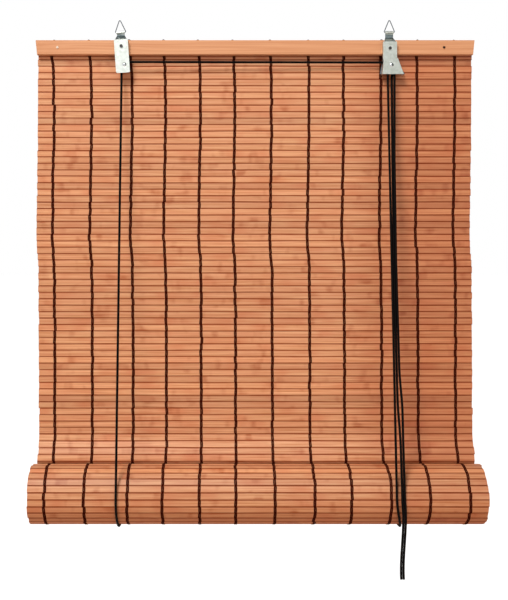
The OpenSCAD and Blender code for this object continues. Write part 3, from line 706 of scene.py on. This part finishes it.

# %% [markdown]
# The slats' edges are painted darker, as dye along them and as painted shade in the seams, and the dye leaves them
# dull. Painted shade also darkens the corner under the rail, and the mat to the right of the cords, less so on the
# roll. The faces have a thin clear seal, so they are half matt.

# %% Bamboo edges and seal
CORNER = MAT_TOP - RAIL_FOOT
edge_unevenness = ramp(tree, cloud, 0.3, 0.7, to_low=0.65)
# The edges' darker colour is dye and painted shade in the seams.
edge_dye_and_shade = calc(tree, "MULTIPLY", ramp(tree, attribute(tree, "stain"), 0.12, 0.72), edge_unevenness)
edge_darkened = mix(tree, edge_dye_and_shade, jointed, "#86340A")
aged = attribute(tree, "aged")
# Painted shade to the right of the cords, half as strong on the roll.
painted_right_shade = calc(tree, "MULTIPLY", ramp(tree, u, 0.1, 0.22, interpolation_type="SMOOTHSTEP"), aged)
tan = mix(tree, painted_right_shade, edge_darkened, "#E7D1C0", "MULTIPLY")
hangs = ramp(tree, aged, PAINTED_SHADE_ROLLED, PAINTED_SHADE_HANGING)
# Painted shade in the corner under the rail, on the hanging slats only.
painted_rail_shade = calc(tree, "MULTIPLY", ramp(tree, v, CORNER + 3 * MM, CORNER + 0.6 * MM), hangs)
tan = mix(tree, painted_rail_shade, tan, "#A87A46", "MULTIPLY")
shade = ramp(tree, attribute(tree, "tone"), -2.0, 2.0, to_low=0.84, to_high=1.1)
toned = add(tree, "ShaderNodeVectorMath", {0: tan, "Scale": shade}, operation="SCALE").outputs[0]
surface(tree, {"Base Color": toned, "Roughness": ramp(tree, streak, to_low=0.45, to_high=0.62), "IOR": 1.5,
               "Specular IOR Level": ramp(tree, edge_dye_and_shade, to_low=0.5, to_high=0.05),
               "Normal": relief(tree, streak, strength=0.25, depth=0.15 * MM)})
# The dye in the corner is painted shade: full just under the rail's foot and gone 3 mm lower.
print("dye in the corner", round(CORNER / MM, 1), "mm below the mat's top edge")

# %% [markdown]
# The slats are bound in twelve columns. In each, two dark cotton threads run side by side over the face of every slat,
# dip into the seam, where they pinch together, and come up again on the next slat, a little to one side. The same
# happens on the back. The cotton is twisted from two plies, which show as slanted ridges.

# %% Cotton thread
TWIST, PLIES = 1.6 * MM, 2
cotton, tree = new_material("twisted_brown_cotton")
u, v = mesh_uv(tree)
phase = calc(tree, "MULTIPLY_ADD", u, 2 * np.pi * PLIES, calc(tree, "MULTIPLY", v, 2 * np.pi / TWIST))
height = ramp(tree, calc(tree, "SINE", phase), low=-1.0)
surface(tree, {"Base Color": mix(tree, height, "#2A0903", "#4A170A"), "Roughness": 0.9, "Specular IOR Level": 0.04,
               "Normal": relief(tree, height, strength=0.5, depth=0.15 * MM)})
print("thread twist drawn every", TWIST / MM, "mm")

# %% [markdown]
# A thread's height over the mat is that of the slat's face, less a narrow dip at each seam. Its stations on one slat
# are given as shares of the pitch, closer together at the seam where it dives. The pair leans a little within each
# slat and steps back at the seam, by an amount that differs from slat to slat.

# %% Stitch rules
SHARES = np.array([0.0, 0.07, 0.16, 0.35, 0.65, 0.84, 0.93])
THREAD_W, THREAD_T, THREAD_SIDES = 0.92 * MM, 0.36 * MM, 6
BEDDED, DIP, DIP_SHARE = 0.75, 0.4 * MM, 0.06
STITCH_STEP, STITCH_LEAN = 0.36 * MM, 0.7
PAIR, PINCH, PINCH_SHARE = 1.02 * MM, 0.3, 0.1
PAIR_SHIFT = -0.6 * MM


def stitch_lift(share):
    """Height of the thread's middle above the mat's middle: on the face, less a dip of Gauss form at the seams."""
    seam_share = np.minimum(share, 1 - share)
    return (SLAT_T / 2 + BEDDED * THREAD_T) - DIP * np.exp(-(seam_share / DIP_SHARE) ** 2)


def stitch_offsets(row, rows):
    """Sideways place of a pair and its half spread at each row share: seeded steps and leans, pinched at the seams."""
    step, lean = rng.normal(0, STITCH_STEP, rows + 1), rng.uniform(-STITCH_LEAN, STITCH_LEAN, rows + 1) * MM
    share, k = row % 1, row.astype(int)
    spread = PAIR * (1 - PINCH * np.exp(-(np.minimum(share, 1 - share) / PINCH_SHARE) ** 2))
    return step[k] + lean[k] * (share - 0.5), spread


print("threads", np.round(stitch_lift(np.array([0.5, 0])) / MM, 2), "mm off the mat's middle, on slats and at seams")

# %% [markdown]
# On the hanging mat the stitches follow the rows' sideways push. Under the rail the pairs are drawn to the left, most
# of all the left ones. The stitches on the lead move with the roll and are one piece.

# %% Stitches on the hanging mat
DRAWN_AT, DRAWN, DRAWN_ROWS = [-0.28, 0.1], [-4 * MM, -0.8 * MM], 1.8
CLOSING, BELOW_RAIL, APART = 0.002, 0.2, 0.04
top_row = (MAT_TOP - RAIL_FOOT) / PITCH + BELOW_RAIL
row = (np.arange(ROWS)[:, None] + SHARES).ravel()
row = np.append(top_row, row[row > top_row + APART])
z = row_height(row)
lift = stitch_lift(row % 1)
lead = np.searchsorted(row, LEAD_ROW)
lead_lines = []
for i, column in enumerate(COLUMNS, 1):
    sway, spread = stitch_offsets(row, ROWS)
    drawn = np.interp(column, DRAWN_AT, DRAWN) * np.exp((top_row - row) / DRAWN_ROWS)
    place = column + sway + row_shift(z) + PAIR_SHIFT - CLOSING * column + drawn
    lines = np.stack([np.stack([place + side * spread, mat_line(z) + face * lift, z], 1)
                      for face in (-1, 1) for side in (-1, 1)])
    rings, uv = tube(lines[:, :lead + 1], THREAD_W, THREAD_T, THREAD_SIDES, DEPTHWISE)
    stitch = skin(f"hanging_stitch_{i}", rings, uv, cotton, "head_rail", "stitch_thread")
    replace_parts(stitch, f"hanging_thread_{i}")
    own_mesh(stitch)
    lead_lines.append(lines[:, lead:])
rings, uv = tube(np.concatenate(lead_lines), THREAD_W, THREAD_T, THREAD_SIDES, DEPTHWISE)
skin("lead_stitches", rings, uv, cotton, "roll", "stitch_thread")
print(len(COLUMNS), "columns of", row.size, "stations,", row.size - lead, "of them on the lead")

# %% [markdown]
# At the rail the threads come up over the mat's top edge between the two battens, and their cut ends stand out as
# small tufts, most of them bent to the left. Each tuft is two short bows of thread over the column.

# %% Thread tufts
LEANS = [-0.5, 3.7, 4.4, 2.8, 3.7, 3.2, 2.3, 1.4, 0.5, -0.6, 0.2, 2.0]
RISES = [2.8, 3.0, 3.5, 3.3, 3.1, 3.0, 3.1, 2.9, 3.0, 3.4, 3.1, 2.8]
TUFT_WIDE, TUFT_SUNK, SECOND_BOW = 5, 0.2, 0.85
TUFT_W, TUFT_T, TUFT_STATIONS = 0.45 * MM, 0.4 * MM, 12
tufts = []
t = np.linspace(0, 1, TUFT_STATIONS)
for column, lean, rise in zip(COLUMNS, LEANS, RISES):
    for side in (-1, 1):
        bow = rise * np.sin(np.pi * t) ** 0.7 * (1 if side < 0 else SECOND_BOW) - TUFT_SUNK
        across = (t - 0.5) * TUFT_WIDE - lean + side * 0.5
        tufts.append(np.stack([column + across * MM, np.full(t.size, MAT_Y + side * TUFT_T), MAT_TOP + bow * MM], 1))
rings, uv = tube(np.array(tufts), TUFT_W, TUFT_T, THREAD_SIDES, DEPTHWISE)
skin("thread_tufts", rings, uv, cotton, "head_rail", "stitch_thread")
print(len(tufts), "bows of thread over the rail")

# %% [markdown]
# Round the roll the same stitch follows the slats of the outer turn: along each chord, lifted outwards by the same
# rule. The columns lie a little closer together there.

# %% Stitches round the roll
OUTER_TURN, ROLL_CLOSING = 0.92, 0.996
turn_rows = int(OUTER_TURN * 2 * np.pi * (MID_R - LAYER / 2) / PITCH)
row = (np.arange(0, turn_rows)[:, None] + SHARES).ravel()
k = row.astype(int)
base = edges[k] + (row % 1 * chord_long[k])[:, None] * chord[k] + stitch_lift(row % 1)[:, None] * chord_out[k]
for i, column in enumerate(COLUMNS, 1):
    sway, spread = stitch_offsets(row, turn_rows)
    place = ROLL_CLOSING * column + PAIR_SHIFT + sway
    lines = np.stack([base + np.outer(place + side * spread, ACROSS) for side in (-1, 1)])
    rings, uv = tube(lines, THREAD_W, THREAD_T, THREAD_SIDES, chord_out[k])
    stitch = skin(f"rolled_stitch_{i}", rings, uv, cotton, "roll", "stitch_thread")
    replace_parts(stitch, f"rolled_thread_{i}")
print("stitches over", turn_rows, "slats of the roll")

# %% [markdown]
# The head rail is a pair of planed softwood battens, stained to go with the bamboo. Their grain is long and straight:
# darker late-wood lines a few millimetres apart, bent by slow waves. The solids already have the true shape, so they
# only get the material; it reads their own object coordinates.

# %% Stained softwood
def coat(node, material):
    """Gives a solid of the frame a material in place of its own."""
    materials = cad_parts[node].data.materials
    materials.clear()
    materials.append(material)


GRAIN, GRAIN_RUN, GRAIN_BEND = 2.6 * MM, 0.22, 4 * MM
softwood, tree = new_material("stained_softwood")
place = object_place(tree)
bend = noise(tree, place, 9.0, 1.0)["Color"]
inputs = {0: bend, 1: (0.0, GRAIN_BEND, GRAIN_BEND), 2: place}
bent = add(tree, "ShaderNodeVectorMath", inputs, operation="MULTIPLY_ADD").outputs[0]
inputs = {0: bent, 1: (1 / GRAIN_RUN, 1 / GRAIN, 1 / GRAIN)}
scaled = add(tree, "ShaderNodeVectorMath", inputs, operation="MULTIPLY").outputs[0]
grain = noise(tree, scaled, 1.0, 3.0, 0.55)[0]
wood = mix(tree, ramp(tree, grain, 0.35, 0.68), "#CE895A", "#E0A072")
surface(tree, {"Base Color": wood, "Roughness": 0.55, "IOR": 1.5,
               "Normal": relief(tree, grain, strength=0.2, depth=0.2 * MM)})
for name in ("front_batten", "back_batten", "bottom_batten"):
    coat(name, softwood)
print("grain lines about", GRAIN / MM, "mm apart")

# %% [markdown]
# Brackets, lock and wheels are steel with a bright zinc plate. Zinc sets in flat crystals a few millimetres across
# that mirror the light a little differently, so the plate looks faintly patched, from bluish to greenish grey, with
# fine scuffs. The neck between plate and eye is painted dull and darker, as painted shade and painted reflection.

# %% Zinc plate
CRYSTAL, SCUFF = 3 * MM, 5 * MM
NECK_FOOT, NECK_TOP, NECK_EDGE = 10.2 * MM, 18 * MM, 0.8 * MM
zinc, tree = new_material("zinc_plated_steel")
place = object_place(tree)
crystal = add(tree, "ShaderNodeTexVoronoi", {"Vector": place, "Scale": 1 / CRYSTAL}).outputs["Color"]
scuff = noise(tree, place, 1 / SCUFF, 5.0)[0]
z_place = add(tree, "ShaderNodeSeparateXYZ", {0: place}).outputs[2]
# Painted shade and reflection: a darker band over the neck, from NECK_FOOT to NECK_TOP.
over = ramp(tree, z_place, NECK_FOOT, NECK_FOOT + NECK_EDGE)
under = ramp(tree, z_place, NECK_TOP - NECK_EDGE, NECK_TOP, to_low=1.0, to_high=0.0)
plate = mix(tree, crystal, "#CBD1C8", "#E2E5DF")
plate = mix(tree, calc(tree, "MULTIPLY", over, under), plate, "#7C878A")
surface(tree, {"Base Color": plate, "Metallic": 1.0, "Roughness": ramp(tree, scuff, 0.3, 0.7, to_low=0.3, to_high=0.5),
               "Normal": relief(tree, scuff, strength=0.15, depth=0.1 * MM)})
print("zinc crystals about", CRYSTAL / MM, "mm across")

# %% [markdown]
# The rings are drawn steel wire, a duller grey. The lock's back plate is zinc-plated but gets the same grey as painted
# shade. Rivets are polished and screws are darkened steel, worn in places. The two nails are one steel: the left one is
# painted pale as a painted highlight and the right one dark brown as painted shade.

# %% Other steels
wire, tree = new_material("drawn_steel_wire_and_plate_shade")
surface(tree, {"Base Color": linear("#666C72"), "Metallic": 0.3, "Roughness": 0.6})

rivet_steel, tree = new_material("polished_rivet_steel")
surface(tree, {"Base Color": linear("#DCDFE0"), "Metallic": 1.0, "Roughness": 0.16})

WEAR = 0.8 * MM
dark_steel, tree = new_material("blackened_steel")
wear = noise(tree, object_place(tree), 1 / WEAR, 2.0)[0]
surface(tree, {"Base Color": mix(tree, wear, "#221F1E", "#767270"), "Metallic": 0.9, "Roughness": 0.4})

nail_steel, tree = new_material("nail_steel")
x_place = add(tree, "ShaderNodeSeparateXYZ", {0: object_place(tree)}).outputs[0]
right_nail_painted_shade = calc(tree, "GREATER_THAN", x_place, 0.0)
# Painted highlight and shade: the left nail is painted pale, the right one dark brown.
surface(tree, {"Base Color": mix(tree, right_nail_painted_shade, "#DCC9B4", "#3A2012"), "Metallic": 0.5, "Roughness": 0.35})

# The lock's back plate takes the grey wire steel as painted shade.
coats = {"left_bracket": zinc, "right_bracket": zinc, "left_pulley": zinc, "guide_roller": zinc, "wedge_roller": zinc,
         "lock_back_plate": wire, "left_ring": wire, "right_ring": wire, "left_rivet": rivet_steel,
         "right_rivet": rivet_steel, "left_screw": dark_steel, "right_screw": dark_steel, "rail_nails": nail_steel,
         "cord_knots": cord_black}
for name, material in coats.items():
    coat(name, material)
print("coats on", len(coats), "nodes")
